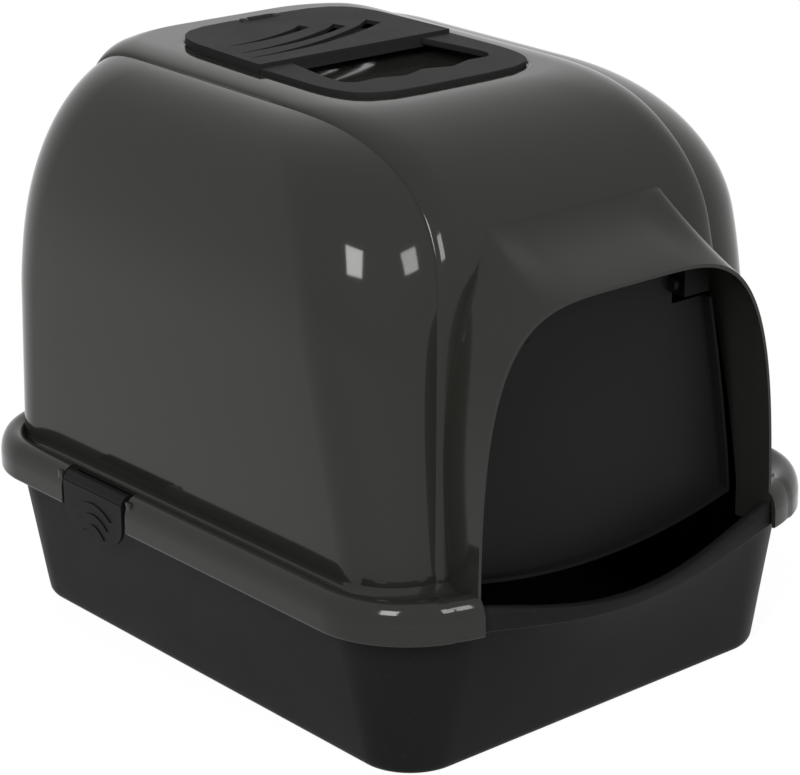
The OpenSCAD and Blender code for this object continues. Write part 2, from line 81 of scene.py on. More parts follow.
def smooth01(t):
    t = clamp01(t)
    return t * t * (3 - 2 * t)


# ---------------------------------------------------------------- mesh helpers
def new_object(name, verts, faces, mm=True):
    """A mesh object from points, in millimetres unless mm is false."""
    mesh = bpy.data.meshes.new(name)
    k = MM if mm else 1.0
    mesh.from_pydata([(v[0] * k, v[1] * k, v[2] * k) for v in verts], [], faces)
    mesh.validate()
    obj = bpy.data.objects.new(name, mesh)
    scene.collection.objects.link(obj)
    return obj


def bake(obj):
    """Applies the object's modifiers to its mesh."""
    bpy.context.view_layer.update()
    graph = bpy.context.evaluated_depsgraph_get()
    shown = obj.evaluated_get(graph)
    mesh = bpy.data.meshes.new_from_object(shown, preserve_all_data_layers=True, depsgraph=graph)
    old = obj.data
    obj.modifiers.clear()
    obj.data = mesh
    mesh.name = obj.name
    bpy.data.meshes.remove(old)
    return obj


def cut_away(obj, cutter):
    """Takes the cutter's volume out of the object and removes the cutter."""
    m = obj.modifiers.new("cut", "BOOLEAN")
    m.operation, m.object, m.solver = "DIFFERENCE", cutter, "EXACT"
    bake(obj)
    bpy.data.objects.remove(cutter)
    return obj


def bevel(obj, width, segments, angle):
    """Rounds the edges that turn by more than the angle."""
    m = obj.modifiers.new("bevel", "BEVEL")
    m.width, m.segments = width * MM, segments
    m.limit_method, m.angle_limit = "ANGLE", math.radians(angle)
    m.miter_outer = "MITER_ARC"
    return bake(obj)


def even_flats(obj):
    """Weights the normals by face area, so that flat faces shade evenly up to their rounded edges."""
    m = obj.modifiers.new("even", "WEIGHTED_NORMAL")
    m.mode, m.weight, m.keep_sharp = "FACE_AREA", 100, True
    return bake(obj)


def shade(obj, angle):
    """Shades smooth, with edges over the angle left sharp."""
    obj.data.polygons.foreach_set("use_smooth", [True] * len(obj.data.polygons))
    obj.data.set_sharp_from_angle(angle=math.radians(angle))
    return obj


def finish_piece(obj, body, material, *nodes, slot, angle):
    """Shades and paints a piece, puts it on its body and hides the CAD nodes that it replaces."""
    shade(obj, angle)
    obj.data.materials.clear()
    obj.data.materials.append(material)
    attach(obj, body)
    if nodes:
        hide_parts(*nodes)
    return obj


def box_object(name, lo, hi):
    x0, y0, z0 = lo
    x1, y1, z1 = hi
    v = [(x0, y0, z0), (x1, y0, z0), (x1, y1, z0), (x0, y1, z0),
         (x0, y0, z1), (x1, y0, z1), (x1, y1, z1), (x0, y1, z1)]
    f = [(0, 3, 2, 1), (4, 5, 6, 7), (0, 1, 5, 4), (1, 2, 6, 5), (2, 3, 7, 6), (3, 0, 4, 7)]
    return new_object(name, v, f)


def side_box(name, side, xs, ys, zs):
    """A box on the left (side -1) or right (side 1), given by its two values on each axis."""
    x0, x1 = sorted(side * x for x in xs)
    return box_object(name, (x0, ys[0], zs[0]), (x1, ys[1], zs[1]))


def prism(name, outline, lo, hi, place):
    """A polygon swept from lo to hi; place(u, w, height) gives a point's place in space."""
    n = len(outline)
    v = [place(u, w, lo) for u, w in outline] + [place(u, w, hi) for u, w in outline]
    f = [tuple(range(n)), tuple(range(2 * n - 1, n - 1, -1))]
    f += [(i, (i + 1) % n, (i + 1) % n + n, i + n) for i in range(n)]
    obj = new_object(name, v, f)
    outward(obj)
    return obj


def outward(obj):
    """Turns all the faces outwards."""
    bm = bmesh.new()
    bm.from_mesh(obj.data)
    bmesh.ops.recalc_face_normals(bm, faces=bm.faces)
    bm.to_mesh(obj.data)
    bm.free()
    return obj


def join(objs, name):
    """Joins the objects' meshes into one new object."""
    bm = bmesh.new()
    for o in objs:
        bm.from_mesh(o.data)
    mesh = bpy.data.meshes.new(name)
    bm.to_mesh(mesh)
    bm.free()
    out = bpy.data.objects.new(name, mesh)
    scene.collection.objects.link(out)
    for o in objs:
        bpy.data.objects.remove(o)
    return out


def stack_faces(rows, n, first=True, last=True):
    """Faces between rows of n points each, with the first and last row closed or left open."""
    f = []
    for i in range(rows - 1):
        for j in range(n):
            a, k = i * n, (j + 1) % n
            f.append((a + j, a + k, a + n + k, a + n + j))
    if first:
        f.append(tuple(range(n - 1, -1, -1)))
    if last:
        f.append(tuple((rows - 1) * n + j for j in range(n)))
    return f


def cylinder(name, a, b, r, n):
    """A cylinder from a to b, in metres."""
    axis = (b - a).normalized()
    side = axis.orthogonal().normalized()
    up = axis.cross(side)
    v = []
    for d in (0, (b - a).length):
        for k in range(n):
            t = 2 * math.pi * k / n
            v.append(a + axis * d + (side * math.cos(t) + up * math.sin(t)) * r)
    return outward(new_object(name, v, stack_faces(2, n), mm=False))


# ---------------------------------------------------------------- materials
DUST = (0.12, 0.115, 0.105, 1)
GRAIN_DEPTH = 0.0004


def material(name, base, rough, specular, bump, grain, rough_spread=0.06, tint=0.1, dust=0.0, wear=0.0,
             sheen=0.0):
    """A base colour and a roughness, each with slight variation, and a fine moulded grain."""
    m = bpy.data.materials.new(name)
    m.use_nodes = True
    nt = m.node_tree
    nt.nodes.clear()
    out = nt.nodes.new("ShaderNodeOutputMaterial")
    bsdf = nt.nodes.new("ShaderNodeBsdfPrincipled")
    nt.links.new(bsdf.outputs[0], out.inputs[0])
    bsdf.inputs["Specular IOR Level"].default_value = specular
    bsdf.inputs["IOR"].default_value = 1.5
    if sheen:
        bsdf.inputs["Sheen Weight"].default_value = sheen
    coords = nt.nodes.new("ShaderNodeTexCoord")

    def noise(scale, detail, roughness=0.5):
        n = nt.nodes.new("ShaderNodeTexNoise")
        n.inputs["Scale"].default_value = scale
        n.inputs["Detail"].default_value = detail
        n.inputs["Roughness"].default_value = roughness
        nt.links.new(coords.outputs["Object"], n.inputs["Vector"])
        return n

    # Colour: broad, faint variation, and a little dust
    broad = noise(9.0, 4.0)
    ramp = nt.nodes.new("ShaderNodeValToRGB")
    lo = [c * (1 - tint) for c in base]
    hi = [c * (1 + tint) for c in base]
    ramp.color_ramp.elements[0].position, ramp.color_ramp.elements[1].position = 0.35, 0.65
    ramp.color_ramp.elements[0].color = (*lo, 1)
    ramp.color_ramp.elements[1].color = (*hi, 1)
    nt.links.new(broad.outputs["Fac"], ramp.inputs["Fac"])
    colour = ramp.outputs["Color"]
    if dust:
        specks = noise(260.0, 2.0)
        pick = nt.nodes.new("ShaderNodeMapRange")
        pick.inputs["From Min"].default_value, pick.inputs["From Max"].default_value = 0.62, 0.8
        pick.inputs["To Max"].default_value = dust
        nt.links.new(specks.outputs["Fac"], pick.inputs["Value"])
        mix = nt.nodes.new("ShaderNodeMix")
        mix.data_type = "RGBA"
        mix.inputs[7].default_value = DUST
        nt.links.new(pick.outputs[0], mix.inputs[0])
        nt.links.new(colour, mix.inputs[6])
        colour = mix.outputs[2]
    if wear:
        # Edges rubbed a little paler
        geo = nt.nodes.new("ShaderNodeNewGeometry")
        edge = nt.nodes.new("ShaderNodeMapRange")
        edge.inputs["From Min"].default_value, edge.inputs["From Max"].default_value = 0.52, 0.62
        edge.inputs["To Max"].default_value = wear
        nt.links.new(geo.outputs["Pointiness"], edge.inputs["Value"])
        mix = nt.nodes.new("ShaderNodeMix")
        mix.data_type = "RGBA"
        mix.inputs[7].default_value = (*[min(1, c * 2.2 + 0.01) for c in base], 1)
        nt.links.new(edge.outputs[0], mix.inputs[0])
        nt.links.new(colour, mix.inputs[6])
        colour = mix.outputs[2]
    nt.links.new(colour, bsdf.inputs["Base Color"])
    # Roughness: slightly cloudy
    cloud = noise(22.0, 5.0, 0.6)
    span = nt.nodes.new("ShaderNodeMapRange")
    span.inputs["From Min"].default_value, span.inputs["From Max"].default_value = 0.3, 0.7
    span.inputs["To Min"].default_value = rough - rough_spread / 2
    span.inputs["To Max"].default_value = rough + rough_spread / 2
    nt.links.new(cloud.outputs["Fac"], span.inputs["Value"])
    nt.links.new(span.outputs[0], bsdf.inputs["Roughness"])
    # Moulded grain
    fine = noise(grain, 2.0)
    bump_node = nt.nodes.new("ShaderNodeBump")
    bump_node.inputs["Strength"].default_value = bump
    bump_node.inputs["Distance"].default_value = GRAIN_DEPTH
    nt.links.new(fine.outputs["Fac"], bump_node.inputs["Height"])
    nt.links.new(bump_node.outputs[0], bsdf.inputs["Normal"])
    return m


gloss_grey = material("hood_plastic", (0.0155, 0.0152, 0.0132), 0.08, specular=0.22, bump=0.012,
                      grain=500.0, rough_spread=0.03, tint=0.03, dust=0.01)
tray_black = material("tray_plastic", (0.0082, 0.0084, 0.0084), 0.45, specular=0.045, bump=0.1, grain=1800.0,
                      tint=0.08, dust=0.04, wear=0.15)
door_black = material("door_plastic", (0.0070, 0.0070, 0.0075), 0.40, specular=0.07, bump=0.06,
                      grain=1500.0, tint=0.06)
bracket_black = material("bracket_plastic", (0.0035, 0.0035, 0.0036), 0.45, specular=0.06, bump=0.06,
                         grain=1500.0)
latch_black = material("latch_plastic", (0.0070, 0.0073, 0.0080), 0.36, specular=0.06, bump=0.05,
                       grain=1500.0, wear=0.2)
panel_charcoal = material("panel_plastic", (0.0160, 0.0160, 0.0158), 0.5, specular=0.03, bump=0.2, grain=2200.0,
                          tint=0.07, wear=0.2)
felt = material("charcoal_felt", (0.008, 0.008, 0.008), 0.9, specular=0.1, bump=0.9, grain=700.0,
                sheen=0.15, tint=0.2)


# ---------------------------------------------------------------- the hood's form
def rise_share(z):
    """0 at the dome's foot, 1 at the roof."""
    return clamp01((z - FOOT_Z) / (ROOF_Z - FOOT_Z))


def reach(wall, z):
    """How far a wall stands from the middle at height z."""
    foot, lean, start, depth, power = wall
    s = clamp01((z - start) / (ROOF_Z - start))
    return foot - lean * rise_share(z) - depth * (1 - max(0.0, 1 - s ** power) ** (1 / power))


def dome_corner(z):
    return FOOT_R + (ROOF_R - FOOT_R) * rise_share(z)


def band_half(z):
    """Half width of the raised band at height z."""
    return BAND_X + BAND_SPREAD * max(0.0, BAND_SPREAD_Z - z) / (BAND_SPREAD_Z - FOOT_Z + 6)


def end_y(x, end, side, r):
    """Reach of an end wall at x, with a corner of radius r."""
    return end - r + math.sqrt(max(0.0, r * r - max(0.0, abs(x) - (side - r)) ** 2))


# Shares of a side's columns on each corner and on the straight between them
CORNER_SHARE, STRAIGHT_SHARE = 0.4, 0.2


def side_point(t, side, front, rear, r, b):
    """A point at share t of the way from x = b on the front, round the side, to x = b on the rear."""
    turn = math.asin(clamp01((b - (side - r)) / r))
    if CORNER_SHARE <= t < 1 - CORNER_SHARE:
        along = (t - CORNER_SHARE) / STRAIGHT_SHARE
        return side, -(front - r) + along * (front + rear - 2 * r)
    if t < CORNER_SHARE:
        a = turn + t / CORNER_SHARE * (math.pi / 2 - turn)
        return side - r + r * math.sin(a), -(front - r) - r * math.cos(a)
    a = math.pi / 2 - (t - (1 - CORNER_SHARE)) / CORNER_SHARE * (math.pi / 2 - turn)
    return side - r + r * math.sin(a), rear - r + r * math.cos(a)


# Distances in from the band's edge, finer at the edge, then the columns over its middle and each side
STEPS = [0, 0.35, 0.8, 1.4, 2.2, 3.2, 4.6, 6.4, 8.6, 11.2, 14.4, 18, SHOULDER]
MID_N, CHEEK_N = 12, 50


def across(b):
    """The x values of the columns on a band of half width b."""
    inner = b - SHOULDER
    return ([-(b - e) for e in STEPS] + [inner * k / MID_N for k in range(-MID_N + 1, MID_N)]
            + [b - e for e in reversed(STEPS)])


def skin_ring(side, front, rear, r, b, z, bow=0.0):
    """A ring round the hood at height z, whose columns follow the band's edges; bow curves its ends."""
    xs = across(b)
    ring = [(x, -end_y(x, front, side, r) + bow * (x / side) ** 2, z) for x in xs]
    right = []
    for k in range(1, CHEEK_N):
        px, py = side_point(k / CHEEK_N, side, front, rear, r, b)
        py -= math.copysign(bow * clamp01(abs(py) / front - 0.5), py)
        right.append((px, py, z))
    ring += right
    ring += [(x, end_y(x, rear, side, r) - bow * (x / side) ** 2, z) for x in reversed(xs)]
    ring += [(-px, py, z) for px, py, z in reversed(right)]
    return ring


def dome_ring(z):
    side = reach(SIDE_WALL, z)
    band = min(band_half(z), side - 1)
    return skin_ring(side, reach(FRONT_WALL, z), reach(REAR_WALL, z), dome_corner(z), band, z)


def flange_ring(inset, z):
    end = OVERALL_L / 2 - inset
    band = band_half(FOOT_Z) + 10
    return skin_ring(OVERALL_W / 2 - inset, end, end, FLANGE_R - inset, band, z, FLANGE_BOW)


def level_at_side(x):
    """Height at which the dome's side comes in to x."""
    lo, hi = 275.0, ROOF_Z - 1e-6
    for _ in range(60):
        mid = (lo + hi) / 2
        if reach(SIDE_WALL, mid) > x:
            lo = mid
        else:
            hi = mid
    return (lo + hi) / 2


def band_rise(x, z):
    """How far the band stands off the dome."""
    e = band_half(z) - abs(x)
    if e <= 0:
        return 0.0
    return BAND_H * math.sqrt(1 - (1 - clamp01(e / SHOULDER)) ** 2)


def tilt(p):
    """Tilts the roof up towards the rear, fading out to the dome's foot."""
    return (p[0], p[1], p[2] + TILT * p[1] * rise_share(p[2]) ** 2)


def on_roof(x, v, w):
    """A point of the top panel's own frame, in the object's frame."""
    c, s = math.cos(PANEL_ANGLE), math.sin(PANEL_ANGLE)
    return (x, PANEL_MID_Y + v * c - w * s, PANEL_Z + v * s + w * c)


# Levels of the dome's rings: closer together towards the shoulder, then where the side comes within a few
# millimetres of the band's edge
LEVEL_N, LEVEL_CROWD = 56, 1.8
top_z = level_at_side(BAND_X + 6)
levels = [FOOT_Z + (top_z - FOOT_Z) * (1 - (1 - k / LEVEL_N) ** LEVEL_CROWD) for k in range(LEVEL_N + 1)]
levels += [level_at_side(BAND_X + e) for e in (4.6, 3.2, 2.2, 1.4, 0.9, 0.5)]
base = np.array([dome_ring(z) for z in levels])
COLS = base.shape[1]


def skin(depth):
    """Points of the skin at a depth under the outer face."""
    up = np.empty_like(base)
    up[1:-1] = base[2:] - base[:-2]
    up[0] = base[1] - base[0]
    up[-1] = base[-1] - base[-2]
    along = np.roll(base, -1, axis=1) - np.roll(base, 1, axis=1)
    normal = np.cross(along, up)
    normal /= np.linalg.norm(normal, axis=2, keepdims=True)
    rise = np.array([[band_rise(p[0], p[2]) for p in row] for row in base])
    pts = base + normal * (rise - depth)[:, :, None]
    return [[tilt(p) for p in row] for row in pts]


def outline_ring(g, w, like):
    """The panel's outline grown by g at height w, with a point for each column of the ring like."""
    quarter, spread = math.pi / 2, 1.6
    ring = []
    for p in like:
        angle = math.atan2((p[1] - PANEL_MID_Y) / PANEL_Y, p[0] / PANEL_X)
        off = (angle % quarter) / (quarter / 2) - 1
        evened = quarter / 2 * (1 + math.copysign(abs(off) ** spread, off))
        angle = math.floor(angle / quarter) * quarter + evened
        c, s = math.cos(angle), math.sin(angle)
        k = (abs(c) ** PANEL_POWER + abs(s) ** PANEL_POWER) ** (-1 / PANEL_POWER)
        y = (PANEL_Y + g) * k * s
        x = (PANEL_X + g) * k * c * (1 - PANEL_TAPER * y / PANEL_Y)
        ring.append(on_roof(x, y, w))
    return ring


def on_roof_m(x, v, w):
    return Vector(on_roof(x, v, w)) * MM


def between(a, b, t, lift=0.0):
    """A ring at share t of the way from ring a to ring b, lifted."""
    return [tuple(p + (q - p) * t + up for p, q, up in zip(u, v, (0, 0, lift))) for u, v in zip(a, b)]


def roll(points, n=8):
    """Catmull-Rom through (inset, height) points."""
    pts = [points[0]] + list(points) + [points[-1]]
    out = []
    for i in range(1, len(pts) - 2):
        p0, p1, p2, p3 = (np.array(pts[i + d], float) for d in (-1, 0, 1, 2))
        for k in range(n):
            t = k / n
            out.append(tuple(0.5 * (2 * p1 + (p2 - p0) * t + (2 * p0 - 5 * p1 + 4 * p2 - p3) * t * t
                                    + (3 * p1 - p0 - 3 * p2 + p3) * t ** 3)))
    out.append(tuple(points[-1]))
    return out


# The flange's profile outside and inside: (inset from the overall size, height)
FLANGE_OUT = [(0.7, FLANGE_Z), (0.05, FLANGE_Z + 0.8), (0.0, FLANGE_Z + 4), (0.1, CREST_Z - 15),
              (0.5, CREST_Z - 11.5), (1.9, CREST_Z - 6.5), (5, CREST_Z - 2), (10, CREST_Z),
              (15, CREST_Z - 1.4), (19, CREST_Z - 4.2), (21, CREST_Z - 4.6)]
FLANGE_IN = [(21, CREST_Z - 7.4), (14.6, CREST_Z - 4.4), (10, CREST_Z - WALL), (6.4, CREST_Z - 4.6),
             (4.4, CREST_Z - 8), (3.3, CREST_Z - 12.5), (WALL, FLANGE_Z + 0.8), (WALL - 0.8, FLANGE_Z)]
# Top: the height of the roof round the panel, the profile down the seat and the well, and the one of the
# pan's underside: (growth of the panel's outline, height in the panel's frame)
ROOF_W, ROOF_GAP, WELL_MID = -PANEL_UP, 2.2, -40
SEAT_PROFILE = [(ROOF_GAP, ROOF_W), (1.6, ROOF_W - 0.08), (1.2, ROOF_W - 0.3), (1.0, ROOF_W - 0.6),
                (0.9, SEAT_W), (-4.0, SEAT_W), (-4.2, SEAT_W - 0.3), (-4.4, -11.5), (-4.9, -12.6),
                (-6.2, -WELL_D), (WELL_MID, -WELL_D)]
PAN_PROFILE = [(WELL_MID, -WELL_D - WALL), (2.0, -WELL_D - WALL), (3.0, -WELL_D), (3.4, ROOF_W - WALL - 0.6)]
# Shares of the way from the dome's last ring to the panel, finer where the band's edge crosses the roof
ROOF_SHARES = (0.02, 0.026, 0.036, 0.05, 0.07, 0.1, 0.14, 0.19, 0.26, 0.34, 0.46, 0.6, 0.75, 0.88)
# Size of the last small ring, against the dome's
CENTRE = 0.02


def hood_shell():
    outer, inner = skin(0), skin(WALL)
    last = outer[-1]
    rings = [flange_ring(i, z) for i, z in roll(FLANGE_OUT, 3)]
    # The flange's trough turns up into the wall
    rings += [between(rings[-1], outer[0], t, -0.9 * math.sin(math.pi * t)) for t in (0.3, 0.6, 0.85)]
    rings += outer
    edge = outline_ring(ROOF_GAP, ROOF_W, last)
    flat_base = [(p[0], p[1], ROOF_Z) for p in base[-1]]
    low = ROOF_Z - base[-1][0][2]
    for t in ROOF_SHARES:
        rings.append([tilt((x, y, ROOF_Z - low * (1 - t) + band_rise(x, ROOF_Z)))
                      for x, y, _ in between(flat_base, edge, t)])
    rings += [outline_ring(g, w, last) for g, w in SEAT_PROFILE]
    rings.append([on_roof(CENTRE * p[0], CENTRE * p[1], -WELL_D) for p in last])
    # Underside of the pan, then the inside of the dome down to the flange
    rings.append([on_roof(CENTRE * p[0], CENTRE * p[1], -WELL_D - WALL) for p in last])
    rings += [outline_ring(g, w, last) for g, w in PAN_PROFILE]
    rings += [between(rings[-1], inner[-1], t) for t in (0.5, 0.85)]
    rings += list(reversed(inner))
    rings += [flange_ring(i, z) for i, z in roll(FLANGE_IN, 2)]
    faces = stack_faces(len(rings), COLS, first=False, last=False)
    a = (len(rings) - 1) * COLS
    faces += [(a + j, a + (j + 1) % COLS, (j + 1) % COLS, j) for j in range(COLS)]
    return outward(new_object("hood_shell", [p for ring in rings for p in ring], faces))


# ---------------------------------------------------------------- the awning
ARCH_POWER, ARCH_TAPER = 4.7, 0.11
# How far the awning climbs to the dome: at its sides, more in its middle, over what half width, and
# up to what height
CLIMB_SIDE, CLIMB_MID, CLIMB_MID_X, CLIMB_TOP = 32.0, 36.0, 92.0, 335.0
# Its slope at the front edge, how closely it then follows the dome, and the half widths between which
# that fades in
AWNING_SLOPE, AWNING_HUG, BLEND_FROM, BLEND_TO = 0.62, 1.4, 84.0, 48.0
# How far its rear end reaches into the hood's wall
AWNING_SINK = 2.2


def arch_point(a, inset):
    """A point (x, z) of the awning's front outline at angle a."""
    c, s = math.cos(a), math.sin(a)
    w, h = AWNING_X - inset, AWNING_H - inset
    r = ((abs(c) / w) ** ARCH_POWER + (abs(s) / h) ** ARCH_POWER) ** (-1 / ARCH_POWER)
    q = r * s / h
    return -r * c * (1 - ARCH_TAPER * q * q), FLANGE_Z + r * s


def climb(x, z):
    """How far the awning climbs from the front edge's point x, z to the dome."""
    return min(CLIMB_TOP - z, CLIMB_SIDE * clamp01((z - FLANGE_Z) / AWNING_H) ** 5
               + CLIMB_MID * max(0.0, 1 - (x / CLIMB_MID_X) ** 2))


def band_front(x, z):
    """The y of the hood's front at x and z, with the band on it."""
    zz = max(z, FOOT_Z)
    slope = (reach(FRONT_WALL, zz + 1) - reach(FRONT_WALL, zz - 1)) / 2
    dome = end_y(x, reach(FRONT_WALL, zz), reach(SIDE_WALL, zz), dome_corner(zz))
    return -dome - band_rise(x, zz) * math.hypot(1, slope)


def awning_run(x, z, t):
    """How far the awning has run back and up at fraction t, as in the part's source."""
    up = climb(x, z)
    blend = smooth01((BLEND_FROM - abs(x)) / (BLEND_FROM - BLEND_TO)) if z > PIVOT_Z else 0.0
    end = band_front(x, z + up) + AWNING_SINK * (1 - blend) + 0.05
    run = end + AWNING_Y
    lean = (band_front(x, z + up + 2) - band_front(x, z + up - 2)) / 4
    s0 = (run, up + (AWNING_SLOPE * run - up) * blend)
    s1 = (run + (lean * up * AWNING_HUG - run) * blend, up + up * (AWNING_HUG - 1) * blend)
    h0, h1, h2 = t * t * (3 - 2 * t), t * (1 - t) ** 2, t * t * (t - 1)
    return run * h0 + s0[0] * h1 + s1[0] * h2, up * h0 + s0[1] * h1 + s1[1] * h2


def awning_mid(a, t):
    """A point in the middle of the awning's wall; a in degrees."""
    (ox, oz), (mx, mz) = arch_point(math.radians(a), 0), arch_point(math.radians(a), WALL / 2)
    run, up = awning_run(ox, oz, t)
    return mx, run - AWNING_Y, mz + up


def awning():
    n_arch, n_out = 160, 26
    rings = []
    for k in range(n_arch, -1, -1):
        a = math.pi * k / n_arch
        (ox, oz), (ix, iz) = arch_point(a, 0), arch_point(a, WALL * 0.8)
        runs = [awning_run(ox, oz, i / n_out) for i in range(n_out + 1)]
        outside = [(ox, q - AWNING_Y, oz + u) for q, u in runs]
        inside = [(ix, q - AWNING_Y, iz + u) for q, u in reversed(runs)]
        rings.append(outside + inside)
    faces = stack_faces(len(rings), len(rings[0]))
    return outward(new_object("hood_awning", [p for ring in rings for p in ring], faces))


def doorway_cutter():
    """The hood's front inside the awning, from the flange up."""
    n = 60
    outline = []
    for k in range(n + 1):
        a = math.pi * k / n
        x, z = arch_point(a, WALL * 0.45)
        outline.append((x, FLANGE_Z - 5 if k in (0, n) else z + climb(x, z) - WALL * 0.7))
    return prism("doorway", outline, -OVERALL_L, -20.0, lambda x, z, y: (x, y, z))


def roof_box(name, lo, hi):
    """A box in the top panel's own frame."""
    obj = box_object(name, lo, hi)
    for vert in obj.data.vertices:
        vert.co = [c * MM for c in on_roof(*[c / MM for c in vert.co])]
    return obj


def lid_relief():
    """Room under the lid's rear edge, kept inside the panel's outline."""
    half, front, g, n = 62.0, 98.0, 0.4, 12
    outline = [(-half, front), (half, front)]
    for k in range(n, -n - 1, -1):
        x = half * k / n
        bend = (1 - (abs(x) / (PANEL_X + g)) ** PANEL_POWER) ** (1 / PANEL_POWER)
        outline.append((x, (PANEL_Y + g) * bend))
    return prism("relief", outline, -9.0, -3.5, on_roof)


def latch_notch(s):
    """The notch of the flange that a latch sits in."""
    inner, gap, top = 186.8, 3.5, 141
    half = LATCH_W / 2 + gap
    return side_box("notch", s, (inner, 206), (LATCH_Y - half, LATCH_Y + half), (FLANGE_Z - 5, top))


# Slots of the filter's grille in the well's floor
SLOT_PITCH, SLOT_HALF, SLOT_FRONT, SLOT_REAR, SLOT_LOW, SLOT_HIGH = 14, 1.8, 36, 86, -17, -11

shell = hood_shell()
cut_away(shell, doorway_cutter())
for s in (-1, 1):
    cut_away(shell, latch_notch(s))
for k in range(-4, 5):
    mid = k * SLOT_PITCH
    slot = roof_box("slot", (mid - SLOT_HALF, SLOT_FRONT, SLOT_LOW), (mid + SLOT_HALF, SLOT_REAR, SLOT_HIGH))
    cut_away(shell, slot)
cut_away(shell, lid_relief())
finish_piece(shell, "hood", gloss_grey, "hood", slot="hood", angle=30)
cover = awning()
finish_piece(cover, "hood", gloss_grey, slot="hood", angle=35)

# Lugs of the lid's hinge: place, half thickness, and the pin's place and round end in the panel's frame
LUG_X, LUG_HALF, LUG_V, LUG_W, LUG_R = 13.0, 2.6, 104.0, 0.6, 3.6
# Bosses of a latch's barrel: from the latch's middle, and their half thickness
BOSS_Y, BOSS_HALF = LATCH_W / 2 + 6.2, 3
# Hangers of the door's brackets: foot (x, y), then angle on the awning's arch and share of its run
HANGER_FOOT = ((67.5, -216), (90, -216), (90, -200), (67.5, -200))
HANGER_TOP = ((111.5, 0.45), (118, 0.45), (118, 0.76), (111.5, 0.76))


def hood_fittings():
    """The mouldings that hold the lid, the latches and the door's brackets."""
    parts = [roof_box("rib", (-79.6, 22, -13.4), (79.6, 24, -6.6))]
    for s in (-1, 1):
        x0, x1 = s * LUG_X - LUG_HALF, s * LUG_X + LUG_HALF
        parts.append(roof_box("lug", (x0, LUG_V - LUG_R, -13.2), (x1, LUG_V + LUG_R, LUG_W)))
        ends = [on_roof_m(x, LUG_V, LUG_W) for x in (x0, x1)]
        parts.append(cylinder("lug_top", *ends, LUG_R * MM, 28))
        for e in (-1, 1):
            y = LATCH_Y + e * BOSS_Y
            parts.append(side_box("boss", s, (198.8, 185.8), (y - BOSS_HALF, y + BOSS_HALF),
                                  (BARREL_Z - 6.5, BARREL_Z + 4)))
        foot = [(s * x, y, PIVOT_Z + 12) for x, y in HANGER_FOOT]
        top = [(s * x, y, z) for x, y, z in (awning_mid(a, t) for a, t in HANGER_TOP)]
        parts.append(outward(new_object("hanger", foot + top, stack_faces(2, 4))))
    return join(parts, "hood_fittings")


fittings = bevel(hood_fittings(), 0.5, 2, 40)
finish_piece(fittings, "hood", gloss_grey, slot="hood", angle=35)


# ---------------------------------------------------------------- carried-over nodes, rounded
def rounded_copy(node, width, body, mat, slot, segments=2):
    """The node's own form with its edges rounded, as a moulding has them."""
    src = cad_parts[node]
    mesh = src.data.copy()
    obj = bpy.data.objects.new(node + "_moulded", mesh)
    scene.collection.objects.link(obj)
    bm = bmesh.new()
    bm.from_mesh(mesh)
    bm.transform(src.matrix_world)
    bmesh.ops.remove_doubles(bm, verts=bm.verts, dist=2e-5)
    bmesh.ops.dissolve_limit(bm, angle_limit=math.radians(1), verts=bm.verts, edges=bm.edges)
    bm.to_mesh(mesh)
    bm.free()
    bevel(obj, width, segments, 40)
    finish_piece(obj, body, mat, node, slot=slot, angle=30)
    even_flats(obj)


rounded_copy("swing_door", 0.6, "door", door_black, "door")
rounded_copy("door_bracket_left", 1.6, "hood", bracket_black, "tray", segments=4)
rounded_copy("door_bracket_right", 1.6, "hood", bracket_black, "tray", segments=4)
rounded_copy("latch_left", 0.4, "latch_l", latch_black, "latch")
rounded_copy("latch_right", 0.4, "latch_r", latch_black, "latch")
rounded_copy("handle_frame", 0.6, "hood", panel_charcoal, "panel")
rounded_copy("filter_lid", 0.5, "lid", panel_charcoal, "panel")


# ---------------------------------------------------------------- the tray
def lip_share(x):
    """How much of the lip's dip x has, 1 in the middle."""
    return math.cos(math.pi / 2 * x / AWNING_X) ** 1.1 if abs(x) < AWNING_X else 0.0


def tray_ring(side, end, r, z, bow):
    """A ring round the tray, lowered at the front lip and along the rim behind it."""
    b, m, n = side - r, 30, 60
    pts = [(b * k / m, -end) for k in range(-m, m + 1)]
    right = [side_point(k / n, side, end, end, r, b) for k in range(1, n)]
    pts += right
    pts += [(b * k / m, end) for k in range(m, -m - 1, -1)]
    pts += [(-x, y) for x, y in reversed(right)]
    ring = []
    for x, y in pts:
        yy = y - math.copysign(bow * (x / side) ** 2 * clamp01(2 * abs(y) / end - 1), y)
        lip = lip_share(x) * (z / RIM_Z) ** 3 * clamp01(-yy / end * 4 - 3)
        drop = RIM_DROP * clamp01((z - RIM_LOW_Z) / (RIM_Z - RIM_LOW_Z)) * clamp01((yy + end) / 20 - 0.6)
        ring.append((x, yy - min(1.0, lip * 1.1) * 4.0, z - LIP_DIP * lip - drop))
    return ring


FOOT_CORNER_R, CORNER_GROWTH, RIM_INSET, WALL_BOW = 38, 26, 13, 10


def tray_wall(t, g, z):
    """A ring of the drafted wall, at share t of its height, moved in by g."""
    side = TRAY_FOOT_X + (OVERALL_W / 2 - RIM_INSET - TRAY_FOOT_X) * t - g
    end = TRAY_FOOT_Y + (OVERALL_L / 2 - RIM_INSET - TRAY_FOOT_Y) * t - g
    return tray_ring(side, end, FOOT_CORNER_R + CORNER_GROWTH * t - g, z, WALL_BOW * t)


def rim_ring(inset, z):
    return tray_ring(OVERALL_W / 2 - inset, OVERALL_L / 2 - inset, FLANGE_R - inset, z, FLANGE_BOW)


